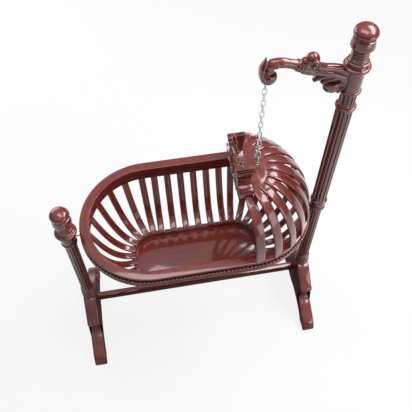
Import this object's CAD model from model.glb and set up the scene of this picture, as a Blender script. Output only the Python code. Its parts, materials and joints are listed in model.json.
"""A swinging cradle on a two-post stand, in lacquered mahogany.

The posts stand at -X (the foot end) and +X (the head end, with the carved arm); the front is -Y.
Sizes are in millimetres where a name ends in _mm and in outlines and sections, and in metres elsewhere.
"""
import json
from functools import partial
from math import copysign, cos, pi, radians, sin, tau

import bpy
import bmesh
from mathutils import Matrix, Vector

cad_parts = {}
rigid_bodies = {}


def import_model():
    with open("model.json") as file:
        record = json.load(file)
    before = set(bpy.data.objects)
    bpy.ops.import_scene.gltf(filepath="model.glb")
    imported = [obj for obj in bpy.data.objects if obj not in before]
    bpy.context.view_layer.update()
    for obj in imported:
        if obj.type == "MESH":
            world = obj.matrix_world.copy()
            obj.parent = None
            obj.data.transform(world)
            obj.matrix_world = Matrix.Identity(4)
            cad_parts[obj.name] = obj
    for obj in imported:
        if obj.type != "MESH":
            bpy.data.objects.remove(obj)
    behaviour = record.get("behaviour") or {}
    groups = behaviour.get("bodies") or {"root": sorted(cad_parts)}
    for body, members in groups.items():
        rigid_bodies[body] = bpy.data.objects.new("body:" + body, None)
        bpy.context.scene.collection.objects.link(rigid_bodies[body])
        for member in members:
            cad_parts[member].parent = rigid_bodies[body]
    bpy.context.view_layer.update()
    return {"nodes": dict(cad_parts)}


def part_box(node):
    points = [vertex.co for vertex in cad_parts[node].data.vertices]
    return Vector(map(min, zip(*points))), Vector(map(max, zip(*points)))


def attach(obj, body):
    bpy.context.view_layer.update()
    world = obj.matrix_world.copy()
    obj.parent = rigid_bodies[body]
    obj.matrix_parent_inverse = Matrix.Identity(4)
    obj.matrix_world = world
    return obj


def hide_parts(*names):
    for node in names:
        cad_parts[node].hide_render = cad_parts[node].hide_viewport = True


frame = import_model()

# ---- Feet, blocks and stretcher ----
# Four feet band-sawn from thick mahogany planks and dowelled to a square block under each post, with
# one low stretcher tenoned between the blocks. Edges are sanded round and the whole is lacquered.

MM = 0.001


def add_node(tree, kind, inputs=None, **settings):
    """Adds a node with its settings. An input is a value, a socket, or a node for its first output."""
    node = tree.nodes.new(kind)
    for name, value in settings.items():
        setattr(node, name, value)
    for socket, value in (inputs or {}).items():
        if isinstance(value, bpy.types.Node):
            value = value.outputs[0]
        if isinstance(value, bpy.types.NodeSocket):
            tree.links.new(value, node.inputs[socket])
        else:
            node.inputs[socket].default_value = value
    return node


def nodes_of(data):
    """Empties the tree of a new material or world, and gives what adds nodes to it."""
    data.use_nodes = True
    data.node_tree.nodes.clear()
    return partial(add_node, data.node_tree)


def colour(text):
    """A linear colour from an sRGB hex value."""
    parts = [int(text[i:i + 2], 16) / 255 for i in (1, 3, 5)]
    return [p / 12.92 if p <= 0.04045 else ((p + 0.055) / 1.055) ** 2.4 for p in parts] + [1.0]


def lacquered_mahogany(name, grain, light="#9c2c1f", dark="#5e1a11"):
    """Mahogany, stained dark red and sprayed with clear gloss lacquer.

    Under the hard coat the eye sees a ribbon figure, darker clouds, short dark pores, and the soft sheen
    of the sealed wood. grain is the axis that the fibres run along, or "path" where the piece is bent.
    """
    material = bpy.data.materials.new(name)
    wood = nodes_of(material)
    if grain == "path":
        place = wood("ShaderNodeAttribute", attribute_name="grain").outputs["Vector"]
        turn = (0, 0, 0)
    else:
        place = wood("ShaderNodeTexCoord").outputs["Object"]
        turn = {"X": (0, radians(-90), 0), "Y": (radians(90), 0, 0), "Z": (0, 0, 0)}[grain]
    turned_place = wood("ShaderNodeMapping", {"Vector": place, "Rotation": turn})
    noises, shares = {}, {}
    # Each mark's width across the fibres, its length in widths, its noise, and the part of it that shows
    for mark, width_mm, lengths, detail, waver, low, high in (
            ("figure", 9, 16, 3.0, 0.6, 0.33, 0.68), ("pore", 1.6, 14, 1.0, 0.0, 0.56, 0.66),
            ("cloud", 120, 3, 1.0, 0.0, 0.3, 0.7)):
        scale = 1 / (width_mm * MM)
        stretched = wood("ShaderNodeMapping", {
            "Vector": turned_place, "Scale": (scale, scale, scale / lengths)})
        noises[mark] = wood("ShaderNodeTexNoise", {
            "Vector": stretched, "Scale": 1.0, "Detail": detail, "Distortion": waver})
        shares[mark] = wood("ShaderNodeMapRange", {0: noises[mark], 1: low, 2: high})
    ribbon = wood("ShaderNodeMix", {0: shares["figure"], 6: colour(dark), 7: colour(light)}, data_type="RGBA")
    shade = ribbon.outputs[2]
    for mark, strength, tint in (("cloud", 0.3, dark), ("pore", 0.55, "#2a0808")):
        stained = wood("ShaderNodeMix", {0: shares[mark], 6: shade, 7: colour(tint)}, data_type="RGBA")
        mixed = wood("ShaderNodeMix", {0: strength, 6: shade, 7: stained.outputs[2]}, data_type="RGBA")
        shade = mixed.outputs[2]
    bump = wood("ShaderNodeBump", {"Height": noises["pore"], "Strength": 0.06, "Distance": 0.4 * MM})
    shader = wood("ShaderNodeBsdfPrincipled", {
        "Base Color": shade, "Normal": bump, "Roughness": 0.34,
        "Specular IOR Level": 0.25, "Coat Weight": 1.0, "Coat Roughness": 0.08, "Coat IOR": 1.58})
    wood("ShaderNodeOutputMaterial", {"Surface": shader})
    return material


def smooth_mesh(mesh, crease=38):
    """Smooth shading, with edges kept sharp where faces meet at more than the crease angle in degrees."""
    mesh.shade_smooth()
    mesh.set_sharp_from_angle(angle=radians(crease))
    return mesh


def scene_object(name, data):
    """A new object in the scene."""
    made = bpy.data.objects.new(name, data)
    bpy.context.scene.collection.objects.link(made)
    return made


def mesh_of(shape, name):
    """The mesh of a finished bmesh, which is used up."""
    mesh = bpy.data.meshes.new(name)
    shape.to_mesh(mesh)
    shape.free()
    return mesh


def fit(slot, body, name, mesh, material, *nodes):
    """Puts a finished mesh on its body, in the place of the CAD nodes it stands for."""
    mesh.materials.clear()
    mesh.materials.append(material)
    piece = scene_object(name, mesh)
    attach(piece, body)
    if nodes:
        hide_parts(*nodes)


fit_stand = partial(fit, "stand_mahogany", "stand")


def baked(source):
    """The mesh of an object with its modifiers applied; the object itself is removed."""
    bpy.context.view_layer.update()
    mesh = bpy.data.meshes.new_from_object(source.evaluated_get(bpy.context.evaluated_depsgraph_get()))
    data = source.data
    bpy.data.objects.remove(source)
    bpy.data.batch_remove([data])
    return mesh


def eased(node, radius_mm, steps=3):
    """A sawn piece: the CAD node's own shape with its sharp edges sanded to a radius."""
    mesh = frame["nodes"][node].data.copy()
    shape = bmesh.new()
    shape.from_mesh(mesh)
    bmesh.ops.remove_doubles(shape, verts=shape.verts, dist=0.01 * MM)
    bmesh.ops.dissolve_limit(shape, angle_limit=radians(1.5), verts=shape.verts, edges=shape.edges)
    shape.to_mesh(mesh)
    shape.free()
    blank = scene_object(node + "_blank", mesh)
    bevel = blank.modifiers.new("eased edges", "BEVEL")
    bevel.width = radius_mm * MM
    bevel.segments = steps
    bevel.limit_method = "ANGLE"
    bevel.angle_limit = radians(40)
    return smooth_mesh(baked(blank))


mahogany_across = lacquered_mahogany("gloss_lacquered_mahogany_feet", "Y")
mahogany_level = lacquered_mahogany("gloss_lacquered_mahogany_level", "X")
mahogany_upright = lacquered_mahogany("gloss_lacquered_mahogany_upright", "Z")


def bent(a, b, c, d, steps=14):
    """Points along a cubic curve, with both its ends."""
    points = []
    for i in range(steps + 1):
        t = i / steps
        s = 1 - t
        weights = (s ** 3, 3 * s * s * t, 3 * s * t * t, t ** 3)
        points.append(tuple(sum(w * p[k] for w, p in zip(weights, (a, b, c, d))) for k in range(len(a))))
    return points


foot_reach_mm, foot_top_mm, foot_ease_mm = 288, 288, 8
block_foot_mm, block_half_mm = 70, 30


def foot_outline():
    """Side view of a foot, (out from the post, up): its shoulder ends in a rounded nose at the knee."""
    def at(out_share, up_share, from_post_mm=0):
        """A point given by its shares of the foot's reach and height."""
        return from_post_mm + out_share * foot_reach_mm, up_share * foot_top_mm

    shoulder = bent(at(0, 0.99, block_half_mm), at(0.111, 0.99, block_half_mm), at(0.4, 0.77), at(0.5, 0.735))
    nose = bent(at(0.502, 0.73), at(0.524, 0.705), at(0.522, 0.655), at(0.496, 0.64), 8)
    calf = bent(at(0.49, 0.635), at(0.5, 0.59), at(0.464, 0.52), at(0.472, 0.431))[:-1]
    instep = bent(at(0.472, 0.431), at(0.486, 0.355), at(0.597, 0.375), at(0.712, 0.292))[:-1]
    toe = bent(at(0.712, 0.292), at(0.834, 0.229), at(0.965, 0.2), at(0.992, 0.07))
    sole = [at(1, 0.05), at(1, 0.012), at(0.99, 0)]
    arch = bent(at(0.771, 0), at(0.712, 0.118), (block_half_mm + 0.313 * foot_reach_mm, 0.94 * block_foot_mm),
                (block_half_mm, block_foot_mm))
    return shoulder + nose + calf + instep + toe + sole + arch


def join_rings(shape, rings):
    """Faces all round, from each ring of points to the next."""
    for low, high in zip(rings, rings[1:]):
        for i in range(len(low)):
            j = (i + 1) % len(low)
            shape.faces.new((low[i], low[j], high[j], high[i]))


def sawn(outline_mm, thick_mm, ease_mm, centre, side):
    """A plank sawn to an outline in the YZ plane, with the long edges of both faces sanded round."""
    closed = [Vector(p) for p in outline_mm]
    count = len(closed)
    normals = []
    for i, point in enumerate(closed):
        way = closed[(i + 1) % count] - closed[i - 1]
        normals.append(Vector((-way.y, way.x)).normalized())
    area = sum(a.x * b.y - b.x * a.y for a, b in zip(closed, closed[1:] + closed[:1]))
    inward = 1 if area > 0 else -1
    shape = bmesh.new()
    rings = []
    half = thick_mm / 2
    for t in (radians(a) for a in range(-90, 91, 18)):
        inset = ease_mm * (1 - cos(t))
        across = copysign(half - ease_mm, t) + ease_mm * sin(t) if t else 0
        ring = []
        for point, normal in zip(closed, normals):
            moved = point + normal * inward * inset
            ring.append(shape.verts.new((centre.x + across * MM, side * moved.x * MM, moved.y * MM)))
        rings.append(ring)
    join_rings(shape, rings)
    for ring in (rings[0], rings[-1]):
        bmesh.ops.triangulate(shape, faces=[shape.faces.new(ring)])
    bmesh.ops.recalc_face_normals(shape, faces=shape.faces)
    return smooth_mesh(mesh_of(shape, "sawn"), 50)


for end in ("foot_end", "head_end"):
    for label, side in (("front", -1), ("rear", 1)):
        foot = f"{end}_{label}_foot"
        low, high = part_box(foot)
        mesh = sawn(foot_outline(), (high.x - low.x) / MM, foot_ease_mm, (low + high) / 2, side)
        fit_stand(foot + "_sawn", mesh, mahogany_across, foot)
    fit_stand(end + "_block_squared", eased(end + "_block", 1.5), mahogany_upright, end + "_block")
fit_stand("stretcher_rail", eased("stretcher", 3), mahogany_level, "stretcher")

# ---- Turned post bases, collars, rings, discs and finials ----
# Each post is a stack of pieces turned on a lathe: beads, coves and balls cut with a gouge, sanded
# while they spin, then lacquered and threaded on a long steel tie rod.


def bead(low, high, radius, out, steps=12):
    """A half round moulding between two heights, standing out from a radius."""
    turns = [pi * i / steps for i in range(steps + 1)]
    return [(radius + out * sin(t), (low + high) / 2 - (high - low) / 2 * cos(t)) for t in turns]


def dome(radius, height, low, high, start, steps=20):
    """The rounded end of a finial: an ellipse from a start angle up to the axis."""
    angles = [radians(start + (90 - start) * i / steps) for i in range(steps + 1)]
    return [(radius * cos(t), height + (low if t < 0 else high) * sin(t)) for t in angles]


def lathed(outline_mm, on, around=72):
    """A solid turned from an outline of (radius, height) on the axis of a CAD node, closed at both ends."""
    shape = bmesh.new()
    rings = []
    for radius, along in outline_mm:
        if radius < 0.01:
            rings.append([shape.verts.new((0, 0, along * MM))])
            continue
        turns = [tau * i / around for i in range(around)]
        rings.append([shape.verts.new((radius * MM * cos(t), radius * MM * sin(t), along * MM))
                      for t in turns])
    for low, high in zip(rings, rings[1:]):
        for i in range(around):
            j = (i + 1) % around
            # A ring of one point is an end on the axis, where the faces are triangles
            corners = list(dict.fromkeys((low[i % len(low)], low[j % len(low)], high[j % len(high)],
                                          high[i % len(high)])))
            if len(corners) > 2:
                shape.faces.new(corners)
    bmesh.ops.recalc_face_normals(shape, faces=shape.faces)
    low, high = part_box(on)
    bmesh.ops.translate(shape, verts=shape.verts, vec=((low.x + high.x) / 2, 0, 0))
    return smooth_mesh(mesh_of(shape, "turned"))


def span_mm(node):
    """The lowest and highest points of a CAD node, in millimetres."""
    low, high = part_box(node)
    return low.z / MM, high.z / MM


def turned_piece(node, outline_mm):
    """A lacquered turning in the place of a CAD node."""
    fit_stand(node + "_turned", lathed(outline_mm, node), mahogany_upright, node)


# The radius that each kind of turning is drawn from, in millimetres
base_r, collar_r, disc_r, knob_r, sleeve_r = 36, 36, 48.5, 42, 34.5
for end in ("foot", "head"):
    low, high = span_mm(end + "_post_base")
    outline = [(0, low), (base_r - 4, low)]
    for i in range(5):
        z = low + (high - low) * (0.02 + 0.196 * i)
        outline += bead(z, z + (high - low) * 0.155, base_r - 4 - 0.8 * i, 4)
    outline += [(base_r - 8, high), (0, high)]
    turned_piece(end + "_post_base", outline)

    low, high = span_mm(end + "_collar")
    outline = [(0, low), (collar_r - 4, low)] + bead(low + 1, low + 13, collar_r - 3, 3)
    outline += bent((collar_r - 5, low + 15), (collar_r - 7, low + 20), (collar_r - 3, low + 24),
                    (collar_r - 3, low + 32))
    outline += bent((collar_r - 3, high - 30), (collar_r - 2, high - 24), (collar_r - 7, high - 22),
                    (collar_r - 5, high - 15))
    outline += bead(high - 13, high - 1, collar_r - 2, 4) + [(collar_r - 3, high), (0, high)]
    turned_piece(end + "_collar", outline)

for end, edge_from_low in (("foot", 14), ("head", 6)):
    low, high = span_mm(end + "_disc")
    edge = low + edge_from_low
    outline = [(0, low), (collar_r - 2, low)]
    outline += bent((collar_r - 1, low + 0.5), (collar_r + 2, edge - 3), (disc_r - 8, edge - 3),
                    (disc_r - 5, edge - 1), 6)
    outline += bead(edge, edge + 14, disc_r - 4, 4)
    outline += bent((disc_r - 6, edge + 15), (disc_r - 7, edge + 18), (collar_r + 3, high - 4),
                    (collar_r + 1, high - 0.5), 8)
    outline += [(collar_r, high), (0, high)]
    turned_piece(end + "_disc", outline)

for end in ("foot", "head"):
    low, high = span_mm(end + "_finial")
    knob = high - 0.67 * knob_r
    cup_foot = high - 0.55 * (high - low)
    cup_top = high - 0.33 * (high - low)
    ring_l = (cup_foot - low - 30) / 3
    outline = [(0, low), (collar_r + 1, low), (collar_r + 2, low + 1), (collar_r + 2, low + 4)]
    outline += bent((collar_r + 1, low + 4.5), (collar_r - 3, low + 5), (collar_r - 5, low + 9),
                    (collar_r - 5, low + 17))
    for i in range(3):
        outline += bead(low + 18.5 + ring_l * i, low + 17.5 + ring_l * (i + 1), collar_r - 7.5, 2.5)
    outline += [(collar_r - 8, cup_foot - 11), (knob_r - 2, cup_foot - 1), (knob_r - 0.5, cup_foot)]
    outline += bent((knob_r, cup_foot + 1), (knob_r, cup_foot + 14), (knob_r - 3, cup_top - 10),
                    (knob_r - 5, cup_top - 1))
    outline += [(knob_r - 7, cup_top), (knob_r - 10, cup_top + 2)]
    outline += dome(knob_r, knob, 0.33 * knob_r, 0.67 * knob_r, -50)
    turned_piece(end + "_finial", outline)

low, high = span_mm("column_rings")
neck_low, neck_high = span_mm("fluted_neck")
for label, bottom, top, nodes in (("lower", low, neck_low, ("column_rings",)),
                                  ("upper", neck_high, high, ())):
    outline = [(0, bottom), (sleeve_r, bottom)] + bead(bottom + 1, top - 1, sleeve_r, 5)
    outline += [(sleeve_r, top), (0, top)]
    fit_stand(label + "_column_ring_turned", lathed(outline, "column_rings"), mahogany_upright, *nodes)

low, high = span_mm("arm_sleeve")
outline = [(0, low), (sleeve_r - 1, low), (sleeve_r, low + 1), (sleeve_r, high - 1),
           (sleeve_r - 1, high), (0, high)]
turned_piece("arm_sleeve", outline)

# ---- Fluted columns ----
# The shafts between the turned pieces are plain cylinders with twelve hollow flutes, cut by a router
# that is lifted just short of each end, so every flute ends in a rounded stop.


def node_group(name, sizes):
    """A Geometry Nodes tree with named inputs, their identifiers, and the sockets that give their values."""
    tree = bpy.data.node_groups.new(name, "GeometryNodeTree")
    known = {}
    for label, kind in (sizes | {"Finish": "Material"}).items():
        socket = tree.interface.new_socket(name=label, in_out="INPUT", socket_type="NodeSocket" + kind)
        known[label] = socket.identifier
    tree.interface.new_socket(name="Geometry", in_out="OUTPUT", socket_type="NodeSocketGeometry")
    return tree, known, add_node(tree, "NodeGroupInput").outputs


def end_group(tree, geometry, material):
    """Ends a tree with its instances made real and its material set."""
    single = add_node(tree, "GeometryNodeRealizeInstances", {0: geometry})
    finished = add_node(tree, "GeometryNodeSetMaterial", {"Geometry": single, "Material": material})
    add_node(tree, "NodeGroupOutput", {0: finished})


def made_by(tree, known, blank, sizes):
    """The mesh that a Geometry Nodes tree makes of an object, which is used up."""
    maker = blank.modifiers.new(tree.name, "NODES")
    maker.node_group = tree
    for label, value in sizes.items():
        maker[known[label]] = value
    return baked(blank)


flutes_round, facets_round = 12, 168
flute_share, flute_depth_share = 0.7, 0.15
flute_run_out_mm, flute_row_mm = 5, 5

flute_tree, flute_inputs, given = node_group("fluted shaft", {
    "Radius": "Float", "Length": "Float", "Rows": "Int", "Flutes": "Int", "Depth": "Float", "Stop": "Float"})
router = partial(add_node, flute_tree)
shaft = router("GeometryNodeMeshCylinder", {
    "Vertices": facets_round, "Side Segments": given["Rows"], "Radius": given["Radius"],
    "Depth": given["Length"]})
where = router("GeometryNodeInputPosition")
parts = router("ShaderNodeSeparateXYZ", {0: where}).outputs
across = router("ShaderNodeMath", {0: parts[1], 1: parts[0]}, operation="ARCTAN2")
per_turn = router("ShaderNodeMath", {0: given["Flutes"], 1: tau}, operation="DIVIDE")
# From 0 in the middle of a flute to 1 at its edges
for operation, value in (("MULTIPLY", per_turn), ("PINGPONG", 0.5), ("MULTIPLY", 2.0),
                         ("DIVIDE", flute_share)):
    across = router("ShaderNodeMath", {0: across, 1: value}, operation=operation)
squared = router("ShaderNodeMath", {0: across, 1: across}, operation="MULTIPLY")
hollow = router("ShaderNodeMath", {0: 1.0, 1: squared}, operation="SUBTRACT")
hollow = router("ShaderNodeMath", {0: hollow, 1: 0.0}, operation="MAXIMUM")
hollow = router("ShaderNodeMath", {0: hollow}, operation="SQRT")
half = router("ShaderNodeMath", {0: given["Length"], 1: 0.5}, operation="MULTIPLY")
height = router("ShaderNodeMath", {0: parts[2]}, operation="ABSOLUTE")
from_end = router("ShaderNodeMath", {0: half, 1: height}, operation="SUBTRACT")
full_depth = router("ShaderNodeMath", {0: given["Stop"], 1: flute_run_out_mm * MM}, operation="ADD")
stop = router("ShaderNodeMapRange", {"Value": from_end, "From Min": given["Stop"], "From Max": full_depth},
              interpolation_type="SMOOTHERSTEP")
for factor in (stop, given["Depth"], -1.0):
    hollow = router("ShaderNodeMath", {0: hollow, 1: factor}, operation="MULTIPLY")
outward = router("ShaderNodeVectorMath", {0: where, 1: (1, 1, 0)}, operation="MULTIPLY")
outward = router("ShaderNodeVectorMath", {0: outward}, operation="NORMALIZE")
moved = router("ShaderNodeVectorMath", {0: outward, "Scale": hollow}, operation="SCALE")
cut_shaft = router("GeometryNodeSetPosition", {"Geometry": shaft, "Offset": moved})
end_group(flute_tree, cut_shaft, given["Finish"])


def fluted_shaft(name, node, radius_mm, stop_mm=6):
    """A fluted shaft in the place of a CAD column."""
    low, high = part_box(node)
    length = high.z - low.z
    mesh = made_by(flute_tree, flute_inputs, scene_object(name, bpy.data.meshes.new(name)), {
        "Radius": radius_mm * MM, "Length": length, "Rows": int(length / (flute_row_mm * MM)),
        "Flutes": flutes_round, "Depth": radius_mm * flute_depth_share * MM, "Stop": stop_mm * MM,
        "Finish": mahogany_upright})
    mesh.transform(Matrix.Translation(((low.x + high.x) / 2, 0, (low.z + high.z) / 2)))
    fit_stand(name, smooth_mesh(mesh, 50), mahogany_upright, node)


fluted_shaft("foot_column_fluted", "foot_column", 27.5)
fluted_shaft("head_lower_column_fluted", "head_lower_column", 27.5)
fluted_shaft("head_upper_column_fluted", "head_upper_column", 33)
fluted_shaft("neck_fluted", "fluted_neck", 31, 4)

# ---- Rim ----
# An oval rim built up of three bent layers: a top board with rounded edges, a deep band under it that
# the slats are housed in, and a run moulding round the outside with a twisted bead under the board.

sweep_tree, sweep_inputs, given = node_group("piece run along a line", {
    "Line": "Geometry", "Section": "Object", "Grain shift": "Float"})
mill = partial(add_node, sweep_tree)
line = mill("GeometryNodeSetCurveNormal", {"Curve": given["Line"]}, mode="Z_UP")
run = mill("GeometryNodeCaptureAttribute", {"Geometry": line})
run.capture_items.new("FLOAT", "Length")
run.capture_items.new("INT", "Which")
sweep_tree.links.new(mill("GeometryNodeSplineParameter").outputs["Length"], run.inputs["Length"])
sweep_tree.links.new(mill("GeometryNodeCurveOfPoint").outputs["Curve Index"], run.inputs["Which"])
section = mill("GeometryNodeObjectInfo", {"Object": given["Section"]})
edge = mill("GeometryNodeCaptureAttribute", {"Geometry": section.outputs["Geometry"]})
edge.capture_items.new("VECTOR", "Across")
sweep_tree.links.new(mill("GeometryNodeInputPosition").outputs[0], edge.inputs["Across"])
swept_mesh = mill("GeometryNodeCurveToMesh", {
    "Curve": run.outputs["Geometry"], "Profile Curve": edge.outputs["Geometry"],
    "Scale": mill("GeometryNodeInputRadius"), "Fill Caps": True})
# The grain's coordinates follow each piece, and each piece comes from another place in the tree
across = mill("ShaderNodeSeparateXYZ", {0: edge.outputs["Across"]}).outputs
shift = mill("ShaderNodeMath", {0: run.outputs["Which"], 1: given["Grain shift"]}, operation="MULTIPLY")
fibres = mill("ShaderNodeCombineXYZ", {
    0: mill("ShaderNodeMath", {0: across[0], 1: shift}, operation="ADD"), 1: across[1],
    2: mill("ShaderNodeMath", {0: run.outputs["Length"], 1: shift}, operation="ADD")})
grained = mill("GeometryNodeStoreNamedAttribute", {
    "Geometry": swept_mesh, "Name": "grain", "Value": fibres}, data_type="FLOAT_VECTOR")
end_group(sweep_tree, grained, given["Finish"])
grain_shift = 0.37


def polyline(name, runs, closed, widths=None):
    """A curve object of one straight-segment spline per run; widths scale the section along each run."""
    data = bpy.data.curves.new(name, "CURVE")
    data.dimensions = "3D"
    for points in runs:
        spline = data.splines.new("POLY")
        spline.points.add(len(points) - 1)
        spline.use_cyclic_u = closed
        for i, (target, point) in enumerate(zip(spline.points, points)):
            target.co = (*point, 1)
            target.radius = widths[i] if widths else 1
    return scene_object(name, data)


def run_along(name, runs, section_mm, material, closed=False, widths=None):
    """One mesh of a section, (out to the right, up), run along each line."""
    guide = polyline(name, runs, closed, widths)
    section = polyline(name + "_section", [[(x * MM, -y * MM, 0) for x, y in section_mm]], True)
    mesh = made_by(sweep_tree, sweep_inputs, guide, {
        "Section": section, "Grain shift": grain_shift, "Finish": material})
    bpy.data.objects.remove(section)
    shape = bmesh.new()
    shape.from_mesh(mesh)
    bmesh.ops.recalc_face_normals(shape, faces=shape.faces)
    shape.to_mesh(mesh)
    shape.free()
    return smooth_mesh(mesh)


def rounded(width_mm, depth_mm, radius_mm, steps=4):
    """A rectangular section centred on the line, with rounded corners."""
    points = []
    for quarter, (sx, sy) in enumerate(((1, 1), (-1, 1), (-1, -1), (1, -1))):
        for i in range(steps + 1):
            t = radians(90 * (quarter + i / steps))
            points.append((sx * (width_mm / 2 - radius_mm) + radius_mm * cos(t),
                           sy * (depth_mm / 2 - radius_mm) + radius_mm * sin(t)))
    return points


def oval(straight, radius, height, steps=40):
    """A closed line round an oval with straight sides, counterclockwise from above."""
    points = []
    for end in (1, -1):
        for i in range(steps + 1):
            t = radians(-90 + 180 * i / steps)
            points.append((end * (straight + radius * cos(t)), end * radius * sin(t), height))
    return points


mahogany_bent = lacquered_mahogany("gloss_lacquered_mahogany_bent", "path")
fit_rail = partial(fit, "rail_mahogany", "cradle")


def bent_rail(name, node, straight, radius, height, section_mm):
    """A closed rail bent round an oval, in the place of a CAD node."""
    mesh = run_along(name, [oval(straight, radius, height)], section_mm, mahogany_bent, True)
    fit_rail(name, mesh, mahogany_bent, node)


rim_low, rim_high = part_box("rim_top")
rim_r = rim_high.y
rim_straight = rim_high.x - rim_r
rim_w_mm = 42
rim_t_mm = (rim_high.z - rim_low.z) / MM
half_w, half_t = rim_w_mm / 2, rim_t_mm / 2
# A thin lip at the outer edge, with a cove under it that the twisted bead lies in
board_section = [(-half_w, -half_t), (half_w - 10, -half_t)]
board_section += bent((half_w - 9, -half_t + 1), (half_w - 9, half_t - 9), (half_w - 7, half_t - 7),
                      (half_w - 2, half_t - 6.5), 6)
board_section += bent((half_w - 0.5, half_t - 6), (half_w, half_t - 3), (half_w, half_t - 1),
                      (half_w - 4, half_t), 6)
board_section += bent((4 - half_w, half_t), (-half_w, half_t), (-half_w, half_t - 1),
                      (-half_w, half_t - 5), 6)
bent_rail("rim_board_bent", "rim_top", rim_straight, rim_r - rim_w_mm / 2 * MM, (rim_low.z + rim_high.z) / 2,
          board_section)

band_low, band_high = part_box("rim_apron")
band_t_mm = 28
band_out = band_high.y
band_depth_mm = (band_high.z - band_low.z) / MM
bent_rail("rim_band_bent", "rim_apron", rim_straight, band_out - band_t_mm / 2 * MM,
          (band_low.z + band_high.z) / 2, rounded(band_t_mm, band_depth_mm, 2))

moulding_low, moulding_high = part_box("rim_moulding")
low, top = moulding_low.z / MM, moulding_high.z / MM
out = moulding_high.y / MM
root = band_out / MM
profile = [(root, low - 3), (out - 9, low - 3)]
for bottom, height, inset, bulge in ((low - 2, 7.5, 8, 4.5), (low + 6, 8.5, 7, 6.5), (low + 15, 8.5, 8, 5.5)):
    profile += bead(bottom, bottom + height, out - inset, bulge, 8)
profile += [(out - 13, low + 25), (out - 13, top), (root, top)]
bent_rail("rim_moulding_run", "rim_moulding", rim_straight, band_out, 0, [(x - root, z) for x, z in profile])

bead_tree, bead_inputs, given = node_group("twisted bead along a line", {
    "Line": "Geometry", "Pitch": "Float", "Size": "Vector", "Slant": "Float"})
carver = partial(add_node, bead_tree)
spaced = carver("GeometryNodeCurveToPoints", {"Curve": given["Line"], "Length": given["Pitch"]},
                mode="LENGTH")
along = carver("FunctionNodeAlignRotationToVector", {"Vector": spaced.outputs["Tangent"]},
               axis="X", pivot_axis="Z")
lean = carver("ShaderNodeCombineXYZ", {1: given["Slant"]})
slanted = carver("FunctionNodeRotateRotation", {"Rotation": along, "Rotate By": lean}, rotation_space="LOCAL")
bulge = carver("GeometryNodeMeshUVSphere", {"Segments": 10, "Rings": 7, "Radius": 1.0})
placed = carver("GeometryNodeInstanceOnPoints", {
    "Points": spaced, "Instance": bulge, "Rotation": slanted, "Scale": given["Size"]})
end_group(bead_tree, placed, given["Finish"])

twist_mm, twist_pitch_mm, twist_slant = (6.4, 5.2, 5.6), 16.4, radians(24)
guide = polyline("twist_line", [oval(rim_straight, (out - twist_mm[1] - 0.6) * MM, (top - 8) * MM, 80)], True)
twist = made_by(bead_tree, bead_inputs, guide, {
    "Pitch": twist_pitch_mm * MM, "Size": [a * MM for a in twist_mm], "Slant": twist_slant,
    "Finish": mahogany_level})
fit_rail("rim_twisted_bead_carved", smooth_mesh(twist, 80), mahogany_level)

# ---- Basket slats and base ----
# The basket's sides are thin slats, steam-bent in a flat S and set between the rim's band and an oval
# hoop, with their edges rounded. The floor is one board, screwed up from battens under the hoop.

hoop_low, hoop_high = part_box("base_hoop")
hoop_out = hoop_high.y
hoop_straight = hoop_high.x - hoop_out
hoop_w_mm = 18
hoop_in = hoop_out - hoop_w_mm * MM
slat_w_mm, slat_t_mm = 32, 10
slat_foot_z = hoop_high.z + slat_t_mm / 2 * MM
landing_r = band_out - band_t_mm * MM + 0.55 * slat_t_mm * MM
tuck = 4 * MM
bend_starts, bend_ends, bend_rise = 0.61, 0.82, 0.154


def basket_line(low, high):
    """The middle of a slat, from over the hoop's inner edge up into the rim's band."""
    way = (Vector(high) - Vector(low)).to_2d()
    run = way.length
    curve = bent((0, slat_foot_z), (bend_starts * run, slat_foot_z),
                 (bend_ends * run, slat_foot_z + bend_rise), (run, band_low.z), 22)
    curve.append((run + tuck * 0.3, band_low.z + tuck))
    way.normalize()
    return [(low[0] + way.x * u, low[1] + way.y * u, z) for u, z in curve]


mahogany_slat = lacquered_mahogany("gloss_lacquered_mahogany_slat", "path")


def bent_slats(node, lines, width_mm, widths=None):
    """Slats along lines in the place of a CAD node, flat, with their long edges rounded by the scraper."""
    half, round_mm = slat_t_mm / 2, 2.2
    edge = [(width_mm / 2 - round_mm * (1 - cos(t)), half * sin(t) * 0.92)
            for t in (radians(a) for a in range(-80, 81, 20))]
    face = [(width_mm * 0.25, half), (0, half), (-width_mm * 0.25, half)]
    section = edge + face + [(-x, -y) for x, y in edge + face]
    name = node + "_bent"
    fit("slat_mahogany", "cradle", name, run_along(name, lines, section, mahogany_slat, widths=widths),
        mahogany_slat, node)


slat_pitch, side_slats = 61 * MM, 6
for node, side in (("near_slats", -1), ("far_slats", 1)):
    lines = []
    for i in range(side_slats):
        x = (i - (side_slats - 1) / 2) * slat_pitch
        lines.append(basket_line((x, side * hoop_in, 0), (x, side * landing_r, 0)))
    bent_slats(node, lines, slat_w_mm)
end_slats, end_pitch = 11, radians(17.55)
for node, end in (("foot_end_slats", -1), ("head_end_slats", 1)):
    lines = []
    for i in range(end_slats):
        a = (i - (end_slats - 1) / 2) * end_pitch
        ray = Vector((end * cos(a), sin(a), 0))
        lines.append(basket_line(Vector((end * hoop_straight, 0, 0)) + hoop_in * ray,
                                 Vector((end * rim_straight, 0, 0)) + landing_r * ray))
    bent_slats(node, lines, slat_w_mm)

bent_rail("base_hoop_bent", "base_hoop", hoop_straight, hoop_out - hoop_w_mm / 2 * MM,
          (hoop_low.z + hoop_high.z) / 2, rounded(hoop_w_mm, (hoop_high.z - hoop_low.z) / MM, 3))
mahogany_board = lacquered_mahogany("gloss_lacquered_mahogany_board", "X", light="#942f23", dark="#76261b")
fit_rail("floor_board", eased("floor_panel", 1), mahogany_board, "floor_panel")
fit_rail("floor_battens_planed", eased("floor_battens", 1), mahogany_across, "floor_battens")

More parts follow.
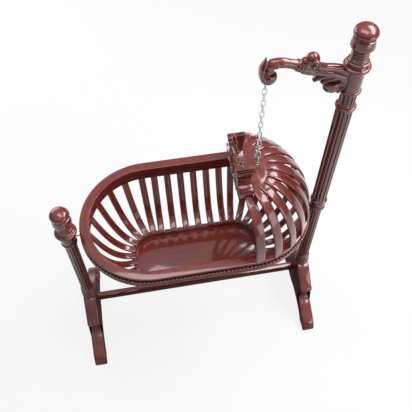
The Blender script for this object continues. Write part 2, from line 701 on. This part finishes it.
# ---- Hood ----
# Twelve tapered slats bent over from the rim to a half-round crown plate, six on each side, with the
# front pair let into the ends of the carved crest.

crown_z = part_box("crown_plate")[1].z
crown_x, crown_r = 137 * MM, 153 * MM
hood_landing_r = rim_r - 8 * MM
hood_pitch_top, hood_pitch_rim = radians(12.4), radians(15.6)
hood_w_top, hood_w_swell, hood_w_rim = 32, 41, 39
hood_w_middle = (hood_w_top + hood_w_rim) / 2
crest_front, crest_t, crest_half = 153 * MM, 56 * MM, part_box("crest")[1].y
lead, slat_drop, crest_slat_drop = 1 * MM, 6 * MM, 32 * MM
hood_bend_starts, hood_bend_ends, hood_bend_drop, swell_ends = 0.35, 0.95, 85 * MM, 0.22
for side_name, side in (("near", -1), ("far", 1)):
    for i in range(1, 7):
        a = side * (i - 0.5) * hood_pitch_top
        b = side * (i - 0.5) * hood_pitch_rim
        if i == 6:
            high = Vector((crest_front + 0.7 * crest_t, side * crest_half))
            top = crown_z - crest_slat_drop
        else:
            high = Vector((crown_x + crown_r * cos(a), crown_r * sin(a)))
            top = crown_z - slat_drop
        low = Vector((rim_straight + hood_landing_r * cos(b), hood_landing_r * sin(b)))
        way = low - high
        run = way.length
        way.normalize()
        curve = [(-lead, top)] + bent((0, top), (hood_bend_starts * run, top),
                                      (hood_bend_ends * run, crown_z - hood_bend_drop), (run, rim_high.z), 24)
        curve.append((run + 0.1 * tuck, rim_high.z - tuck))
        line = [(high.x + way.x * u, high.y + way.y * u, z) for u, z in curve]
        widths = [min(hood_w_top + (hood_w_swell - hood_w_top) * max(u, 0) / (swell_ends * run),
                      hood_w_swell + (hood_w_rim - hood_w_swell) * u / run) / hood_w_middle for u, z in curve]
        bent_slats(f"hood_slat_{side_name}_{i}", [line], hood_w_middle, widths)
fit_rail("crown_plate_shaped", eased("crown_plate", 2), mahogany_level, "crown_plate")

# ---- Crest ----
# A carved mahogany board that stands across the front of the hood: a capital with three cornices at
# each end, a saddle between them, and leaf scrolls with rosettes cut in relief, then lacquered.


def flow(points, steps=6):
    """Points along a smooth curve through each of the given ones."""
    line = []
    for i in range(len(points) - 1):
        near = [points[max(i - 1, 0)], points[i], points[i + 1], points[min(i + 2, len(points) - 1)]]
        for s in range(steps):
            t = s / steps
            line.append(tuple(0.5 * (2 * b + (c - a) * t + (2 * a - 5 * b + 4 * c - d) * t * t
                                     + (3 * b - a - 3 * c + d) * t ** 3) for a, b, c, d in zip(*near)))
    return line + [tuple(points[-1])]


def limb(shape, stations, side_mm=0.0, around=20):
    """A closed carved limb in an upright plane, through stations of (x, z, half depth, half width)."""
    line = flow(stations)
    rings = []
    for i, (x, z, deep, wide) in enumerate(line):
        before, after = line[max(i - 1, 0)], line[min(i + 1, len(line) - 1)]
        way = Vector((after[0] - before[0], after[1] - before[1])).normalized()
        turns = [tau * k / around for k in range(around)]
        rings.append([shape.verts.new((
            (x - way.y * deep * cos(t)) * MM, (side_mm + wide * sin(t)) * MM,
            (z + way.x * deep * cos(t)) * MM)) for t in turns])
    join_rings(shape, rings)
    shape.faces.new(rings[0][::-1])
    shape.faces.new(rings[-1])


def volute(centre, radius, start, turns, deep, wide, left=0.35):
    """Stations round a spiral that winds in; left is the share of its radius at the inner end."""
    count = max(int(abs(turns) * 10), 3)
    stations = []
    for i in range(count + 1):
        share = i / count
        t = radians(start) + tau * turns * share
        r = radius * (1 - (1 - left) * share)
        stations.append((centre[0] + r * cos(t), centre[1] + r * sin(t),
                         deep * (1 - 0.4 * share), wide))
    return stations


def lump(shape, centre_mm, radii_mm):
    """A rounded lump of wood, as a carver leaves for a boss, a petal or a ball."""
    place = Matrix.Translation(Vector(centre_mm) * MM) @ Matrix.Diagonal((*(Vector(radii_mm) * MM), 1))
    bmesh.ops.create_uvsphere(shape, u_segments=24, v_segments=14, radius=1, matrix=place)


def carved(name, shape, voxel_mm, rubs, hollows=None):
    """One closed skin over solids that run into each other, gouged by hollows, with its edges rubbed soft."""
    bmesh.ops.recalc_face_normals(shape, faces=shape.faces)
    blank = scene_object(name + "_blank", mesh_of(shape, name))
    skin = blank.modifiers.new("one skin", "REMESH")
    skin.mode = "VOXEL"
    skin.voxel_size = voxel_mm * MM
    if hollows:
        gouge = scene_object(name + "_gouge", mesh_of(hollows, name + "_gouge"))
        cut = blank.modifiers.new("gouged", "BOOLEAN")
        cut.operation = "DIFFERENCE"
        cut.solver = "EXACT"
        cut.object = gouge
    rub = blank.modifiers.new("rubbed soft", "SMOOTH")
    rub.factor = 0.5
    rub.iterations = rubs
    mesh = baked(blank)
    if hollows:
        bpy.data.meshes.remove(gouge.data)
    mesh.shade_smooth()
    return mesh


carved_tones = {"light": "#92281c", "dark": "#4c150e"}
carved_across = lacquered_mahogany("gloss_lacquered_carved_mahogany", "Y", **carved_tones)
fit_crest = partial(fit, "carved_mahogany", "cradle")
fit_crest("crest_sawn", eased("crest", 1.5), carved_across, "crest")


def rosette(shape, across, up, radius):
    """Eight petals round a boss, in relief on an upright plane."""
    for i in range(8):
        t = tau * i / 8
        lump(shape, (across + 0.62 * radius * cos(t), 0, up + 0.62 * radius * sin(t)),
             (0.34 * radius, 0.3 * radius, 0.34 * radius))
    lump(shape, (across, 0, up), (0.36 * radius, 0.45 * radius, 0.36 * radius))


def leaf_scroll(shape, side, start, reach, rise, deep):
    """A leafy scroll that runs out from a rosette in two waves, with a volute at its end."""
    span = reach - start
    rib = [(side * (start + span * u), rise * sin(tau * u), deep * (1 - 0.3 * u), deep * 0.9)
           for u in (0, 0.12, 0.25, 0.38, 0.5, 0.62, 0.75, 0.88, 1)]
    limb(shape, rib, around=10)
    for u, up in ((0.2, 1), (0.36, 1), (0.62, -1), (0.8, -1)):
        foot = (side * (start + span * u), rise * sin(tau * u))
        limb(shape, [(foot[0], foot[1], deep, deep * 0.8),
                     (foot[0] + side * 0.08 * span, foot[1] + up * 1.5 * deep, deep * 0.8, deep * 0.7),
                     (foot[0] + side * 0.16 * span, foot[1] + up * 2.0 * deep, 0.8, 1.2)], around=10)
    curl = volute((reach, 0.6 * deep), 1.9 * deep, 200, -1.1, 0.6 * deep, deep * 0.8)
    limb(shape, [(side * x, z, d, w) for x, z, d, w in curl], around=10)


# The relief is modelled flat on an upright plane, then turned to face the foot end
to_foot_end = Matrix.Rotation(radians(90), 4, "Z")
relief_voxel_mm = 1.2
face_carving = bmesh.new()
rosette(face_carving, 0, 0, 19)
for side in (-1, 1):
    leaf_scroll(face_carving, side, 20, 92, 7, 5.2)
carving_low, carving_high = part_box("crest_carving")
on_face = Matrix.Translation((crest_front, 0, (carving_low.z + carving_high.z) / 2)) @ to_foot_end
bmesh.ops.transform(face_carving, matrix=on_face, verts=face_carving.verts)
fit_crest("crest_face_carving", carved("crest_face_carving", face_carving, relief_voxel_mm, 2), carved_across,
          "crest_carving")

# The same work runs over the top of the carved front, tipped back, from one capital to the other
saddle_mm, capital_mm, front_t_mm = 56.4, 94, 25
saddle_carving = bmesh.new()
rosette(saddle_carving, 0, 0, 14)
for side in (-1, 1):
    leaf_scroll(saddle_carving, side, 14, 80, 4, 5)
    for across, up, turn in (
            (19, 11, 30), (24, -10, -40), (33, 10, 20), (40, -11, -30), (49, 11, 35),
            (57, -10, -25), (65, 10, 30), (73, -9, -35), (80, 7, 10)):
        x = side * across
        leaf = [(x - 7, up, 1, 3), (x, up + turn / 12, 4, 6), (x + 7, up + turn / 8, 1, 3)]
        limb(saddle_carving, leaf, side_mm=1)
tipped = (Matrix.Translation((crest_front + 0.5 * front_t_mm * MM, 0, crown_z)) @ to_foot_end
          @ Matrix.Rotation(radians(58), 4, "X"))
bmesh.ops.transform(saddle_carving, matrix=tipped, verts=saddle_carving.verts)
# It lies in the saddle and climbs over its ends to the capitals
for vert in saddle_carving.verts:
    climb = min(max((abs(vert.co.y) - 16 * MM) / (56 * MM), 0), 1)
    vert.co.z += (saddle_mm + (capital_mm - saddle_mm) * climb * climb * (3 - 2 * climb) - 2) * MM
fit_crest("crest_saddle_carving", carved("crest_saddle_carving", saddle_carving, relief_voxel_mm, 1),
          carved_across)

# Three cornices round each capital's outer face, and its foot that flares to a step on the board
cornices = []
for height, reach in ((94, 93), (86, 96.5), (78, 100)):
    cornices += [(84, height + 1), (reach - 1, height + 1), (reach, height - 1.5), (reach - 1.5, height - 4),
                 (89, height - 5), (88.5, height - 7)]
cornices += [(84, 70)]
flare = [(84, 36), (88.5, 36)] + bent((88.5, 36), (88.5, 18), (91, 9), (98, 6), 8)[1:] + [
    (113, 5.5), (114, 4.5), (114, 0.3), (84, 0.3)]
for label, side in (("near", -1), ("far", 1)):
    # The cornices go round the whole end of the board, the foot only under its sides
    for part, outline, thick_mm in (("cornices", cornices, 66), ("foot", flare, 54)):
        lifted = [(y, z + crown_z / MM) for y, z in outline]
        mesh = sawn(lifted, thick_mm, 1, Vector((crest_front + crest_t / 2, 0, 0)), side)
        fit_crest(f"crest_{label}_{part}", mesh, carved_across)

# ---- Carved arm ----
# The arm that carries the chain is carved from one block of mahogany: a leaf that rolls over at its
# tip, a ball with a volute on each cheek, and a rolled leaf under the bracket. It is dowelled to the post.

# Stations are (x, height, half depth, half width) in mm: the top strand, the lower one, and the neck
arm = bmesh.new()
limb(arm, [(538, 1618, 14, 19), (520, 1622, 14, 19), (500, 1634, 12, 18), (475, 1642, 10, 17),
           (450, 1647, 10, 17), (425, 1656, 12, 18), (400, 1668, 14, 18)])
limb(arm, [(538, 1588, 24, 20), (520, 1592, 22, 20), (500, 1602, 17, 19), (480, 1616, 13, 18),
           (455, 1625, 12, 18), (425, 1631, 13, 18), (395, 1638, 14, 18), (370, 1650, 16, 18)])
limb(arm, [(410, 1655, 22, 19), (380, 1660, 22, 19), (367, 1664, 22, 19), (350, 1670, 19, 17),
           (335, 1676, 17, 16), (320, 1681, 17, 16), (300, 1687, 18, 17), (280, 1688, 19, 17),
           (262, 1685, 19, 17), (250, 1674, 16, 16)])
# Three turned rings round the neck
for x, z, deep in ((371, 1662, 25), (360, 1666, 23), (349, 1670, 21)):
    limb(arm, [(x + 4.5, z - 1.5, deep - 6, 15), (x + 2.5, z - 1, deep - 1, 20), (x, z, deep + 1, 21.5),
               (x - 2.5, z + 1, deep - 1, 20), (x - 4.5, z + 1.5, deep - 6, 15)])
# The leaf that rolls over at the tip, with its point standing up behind and its bowl hollowed
limb(arm, [(241, 1719, 1.5, 3), (240, 1708, 4, 9), (238, 1694, 7, 15), (232, 1676, 9, 20),
           (230, 1656, 10, 23), (234, 1638, 11, 24), (246, 1624, 12, 24)])
lump(arm, (256, 0, 1632), (30, 25, 29))
lump(arm, (256, 0, 1662), (17, 17, 20))
# The ball, and a volute with a boss on each of its cheeks
lump(arm, (398, 0, 1687), (26, 22, 26))
lump(arm, (380, 0, 1678), (24, 18, 20))
for cheek in (-1, 1):
    limb(arm, volute((405, 1677), 16, 120, -1.4, 5, 7, 0.25), side_mm=cheek * 22)
    lump(arm, (405, cheek * 25, 1677), (6, 7, 6))
    limb(arm, volute((272, 1688), 9, 60, -1.1, 3, 4, 0.3), side_mm=cheek * 16)
# Leaf points under the arm, and the leaf that rolls up under the bracket
limb(arm, [(478, 1616, 14, 18), (450, 1612, 13, 17), (430, 1604, 11, 15), (414, 1592, 6, 10)])
limb(arm, [(500, 1600, 14, 18), (478, 1596, 13, 17), (458, 1589, 11, 15), (443, 1578, 6, 10)])
limb(arm, [(532, 1620, 16, 19), (530, 1590, 17, 19), (528, 1565, 17, 19), (528, 1542, 9, 18)])
lump(arm, (512, 0, 1586), (20, 12, 24))
limb(arm, [(534, 1578, 8, 19), (526, 1559, 8, 21), (515, 1544, 8, 23), (502, 1537, 9, 23)])
lump(arm, (487, 0, 1559), (34, 25, 31))
for cheek in (-1, 1):
    limb(arm, volute((487, 1561), 26, 20, 0.9, 4, 5, 0.5), side_mm=cheek * 20)
arm_hollows = bmesh.new()
lump(arm_hollows, (268, -11, 1651), (19, 13, 7))
for cheek in (-1, 1):
    lump(arm_hollows, (483, cheek * 14, 1583), (25, 14, 10))
carved_along = lacquered_mahogany("gloss_lacquered_carved_mahogany_arm", "X", **carved_tones)
arm_voxel_mm = 1.7
fit("carved_mahogany", "stand", "hanging_arm_carved",
    carved("hanging_arm_carved", arm, arm_voxel_mm, 2, arm_hollows), carved_along, "carved_arm")

# ---- Chain, eyes and other steel ----
# Welded steel chain, bright zinc plated: nine links from the arm's eye to a ring, and two short runs
# from the ring to the screw eyes in the crown plate. Bolts, screws and the foot pivot are turned steel.


def bright_steel(name, tint, rough, mark_mm):
    """Plated or turned steel: a clear reflection, dulled unevenly by handling and fine tool marks."""
    material = bpy.data.materials.new(name)
    metal = nodes_of(material)
    place = metal("ShaderNodeTexCoord").outputs["Object"]
    marks = metal("ShaderNodeTexNoise", {"Vector": place, "Scale": 1 / (mark_mm * MM), "Detail": 2.0})
    dull = metal("ShaderNodeMapRange", {0: marks, 1: 0.3, 2: 0.7, 3: rough * 0.7, 4: rough * 1.3})
    shades = metal("ShaderNodeMix", {0: marks, 6: colour(tint), 7: colour("#b6b7ba")}, data_type="RGBA")
    shader = metal("ShaderNodeBsdfPrincipled", {
        "Base Color": shades.outputs[2], "Metallic": 1.0, "Roughness": dull})
    metal("ShaderNodeOutputMaterial", {"Surface": shader})
    return material


def finish(material, *nodes):
    """Gives CAD nodes that keep their own shape a finish."""
    for node in nodes:
        for place in frame["nodes"][node].material_slots:
            place.material = material


link_tree, link_inputs, given = node_group("hanging run of links", {
    "Links": "Int", "Pitch": "Float", "Width": "Float", "Height": "Float", "Wire": "Float"})
welder = partial(add_node, link_tree)
straight = welder("GeometryNodeCurvePrimitiveQuadrilateral", {
    "Width": given["Width"], "Height": given["Height"]}, mode="RECTANGLE")
# Just under half the width, so that the two bends of an end don't meet in one point
bend = welder("ShaderNodeMath", {0: given["Width"], 1: 0.499}, operation="MULTIPLY")
bends = welder("GeometryNodeFilletCurve", {"Curve": straight, "Count": 9, "Radius": bend}, mode="POLY")
wire = welder("GeometryNodeCurvePrimitiveCircle", {"Resolution": 10, "Radius": given["Wire"]})
link = welder("GeometryNodeCurveToMesh", {"Curve": bends, "Profile Curve": wire})
upright_link = welder("GeometryNodeTransform", {"Geometry": link, "Rotation": (radians(90), 0, 0)})
down = welder("ShaderNodeMath", {0: given["Pitch"], 1: -1.0}, operation="MULTIPLY")
step = welder("ShaderNodeCombineXYZ", {2: down})
places = welder("GeometryNodeMeshLine", {"Count": given["Links"], "Offset": step}, mode="OFFSET")
odd = welder("ShaderNodeMath", {0: welder("GeometryNodeInputIndex"), 1: 2.0}, operation="MODULO")
quarter = welder("ShaderNodeMath", {0: odd, 1: radians(90)}, operation="MULTIPLY")
hung = welder("GeometryNodeInstanceOnPoints", {
    "Points": places, "Instance": upright_link, "Rotation": welder("ShaderNodeCombineXYZ", {2: quarter})})
end_group(link_tree, hung, given["Finish"])

wire_r_mm, bend_r_mm, half_straight_mm, pitch_mm = 2, 7.25, 8.75, 27.7
reach_mm = 2 * (bend_r_mm + half_straight_mm)
plated_steel = bright_steel("bright_zinc_plated_steel", "#e6e6e7", 0.26, 6)


def chain_run(name, links):
    """A run of links that hangs straight down from the centre of its top wire, at the origin."""
    mesh = made_by(link_tree, link_inputs, scene_object(name, bpy.data.meshes.new(name)), {
        "Links": links, "Pitch": pitch_mm * MM, "Width": 2 * bend_r_mm * MM, "Height": reach_mm * MM,
        "Wire": wire_r_mm * MM, "Finish": plated_steel})
    mesh.transform(Matrix.Translation((0, 0, -reach_mm / 2 * MM)))
    return smooth_mesh(mesh, 80)


chain_low, chain_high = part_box("chain_links")
chain_x = (chain_low.x + chain_high.x) / 2
main_run = chain_run("main_run", 9)
main_run.transform(Matrix.Translation((chain_x, 0, chain_high.z - wire_r_mm * MM)))
fit_chain = partial(fit, "chain_steel", "cradle")
fit_chain("chain_welded", main_run, plated_steel, "chain_links")

legs_low, legs_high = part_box("bridle_legs")
leg_lean = radians(9.5)
legs = bmesh.new()
for side in (-1, 1):
    leg = chain_run("bridle_leg", 4)
    leg.transform(Matrix.Rotation(side * leg_lean, 4, "X"))
    lowest = min(v.co.z for v in leg.vertices)
    outermost = max(side * v.co.y for v in leg.vertices)
    leg.transform(Matrix.Translation((chain_x, side * (legs_high.y - outermost), legs_low.z - lowest)))
    legs.from_mesh(leg)
    bpy.data.meshes.remove(leg)
both_legs = smooth_mesh(mesh_of(legs, "bridle_legs"), 80)
fit_chain("bridle_legs_welded", both_legs, plated_steel, "bridle_legs")
finish(plated_steel, "arm_eye", "crown_eyes", "bridle_ring")
finish(bright_steel("turned_mild_steel", "#b4b4b6", 0.24, 1.5), "stretcher_bolts", "foot_tie_rod",
       "head_tie_rod", "pivot_pin", "pivot_socket", "floor_screws")


def bare_beech(name):
    """Beech dowel, turned and left bare inside the joints: pale, with fine short flecks."""
    material = bpy.data.materials.new(name)
    dowel = nodes_of(material)
    place = dowel("ShaderNodeTexCoord").outputs["Object"]
    fleck_mm = 1.2
    flecks = dowel("ShaderNodeTexNoise", {"Vector": place, "Scale": 1 / (fleck_mm * MM), "Detail": 2.0})
    shade = dowel("ShaderNodeMix", {0: flecks, 6: colour("#c9a577"), 7: colour("#a77f52")}, data_type="RGBA")
    shader = dowel("ShaderNodeBsdfPrincipled", {"Base Color": shade.outputs[2], "Roughness": 0.65})
    dowel("ShaderNodeOutputMaterial", {"Surface": shader})
    return material


finish(bare_beech("bare_turned_beech"), "foot_dowels", "arm_dowels")

# ---- Studio ----
# A plain pale floor with soft white light from the right, from above, low from the front and from
# behind. The camera stands where the photograph's did, above the front of the foot end.

floor_half, floor_white, near_dark, far_bright = 9.0, 0.84, 0.55, 1.0
floor_mesh = bpy.data.meshes.new("studio_floor")
corners = [(x * floor_half, y * floor_half, 0) for x, y in ((-1, -1), (1, -1), (1, 1), (-1, 1))]
floor_mesh.from_pydata(corners, [], [(0, 1, 2, 3)])
studio_floor = scene_object("studio_floor", floor_mesh)
pale = bpy.data.materials.new("studio_white_paint")
roller = nodes_of(pale)
paint = roller("ShaderNodeBsdfPrincipled", {
    "Base Color": colour("#6a6a6a"), "Roughness": 0.9, "Specular IOR Level": 0.1})
rays = roller("ShaderNodeLightPath").outputs
# White to the camera, and in reflections too, apart from the floor that the object stands over
here = roller("ShaderNodeTexCoord").outputs["Object"]
from_centre = roller("ShaderNodeVectorMath", {0: here}, operation="LENGTH")
spread = roller("ShaderNodeMapRange", {0: from_centre.outputs["Value"], 1: near_dark, 2: far_bright})
seen = roller("ShaderNodeMath", {0: rays["Is Camera Ray"], 1: floor_white}, operation="MULTIPLY")
share = roller("ShaderNodeMath", {0: rays["Is Glossy Ray"], 1: spread, 2: seen}, operation="MULTIPLY_ADD")
glow = roller("ShaderNodeEmission", {"Color": (1, 1, 1, 1), "Strength": share})
roller("ShaderNodeOutputMaterial", {"Surface": roller("ShaderNodeAddShader", {0: paint, 1: glow})})
floor_mesh.materials.append(pale)

# White to the camera, brighter overhead than low down in reflections, and a low even light otherwise
world = bpy.data.worlds.new("studio")
bpy.context.scene.world = world
air = nodes_of(world)
even_light = 0.07
rays = air("ShaderNodeLightPath").outputs
height = air("ShaderNodeSeparateXYZ", {0: air("ShaderNodeTexCoord").outputs["Generated"]}).outputs[2]
graded = air("ShaderNodeMapRange", {
    "Value": height, "From Min": 0.05, "From Max": 0.85, "To Min": 0.15, "To Max": 0.88})
extra = air("ShaderNodeMath", {0: graded, 1: even_light}, operation="SUBTRACT")
mirrored = air("ShaderNodeMath", {0: rays["Is Glossy Ray"], 1: extra, 2: even_light},
               operation="MULTIPLY_ADD")
level = air("ShaderNodeMath", {0: mirrored, 1: rays["Is Camera Ray"]}, operation="MAXIMUM")
sky = air("ShaderNodeBackground", {"Color": (1, 1, 1, 1), "Strength": level})
air("ShaderNodeOutputWorld", {"Surface": sky})

for name, place, wide, tall, power in (
        ("softbox_right", (2.3, 0.35, 3.85), 3.2, 1.3, 116), ("softbox_above", (-0.1, -0.1, 4.6), 2.8, 1.5, 54),
        ("softbox_front_low", (2.6, -2.7, 1.5), 2.4, 1.6, 34), ("softbox_behind", (-1.9, 3.1, 1.9), 2.8, 1.8, 50)):
    lamp = bpy.data.lights.new(name, "AREA")
    lamp.shape = "RECTANGLE"
    lamp.energy = power
    lamp.size, lamp.size_y = wide, tall
    holder = scene_object(name, lamp)
    holder.location = place
    holder.rotation_euler = (Vector((0, 0, 0.8)) - Vector(place)).to_track_quat("-Z", "Y").to_euler()

camera_data = bpy.data.cameras.new("camera")
camera_data.lens = 50.03
camera = scene_object("camera", camera_data)
camera.location = (-0.1906, -1.3478, 2.966)
camera.rotation_euler = (radians(33.8), 0, radians(-9.99))
bpy.context.scene.camera = camera
bpy.context.scene.view_settings.view_transform = "Standard"
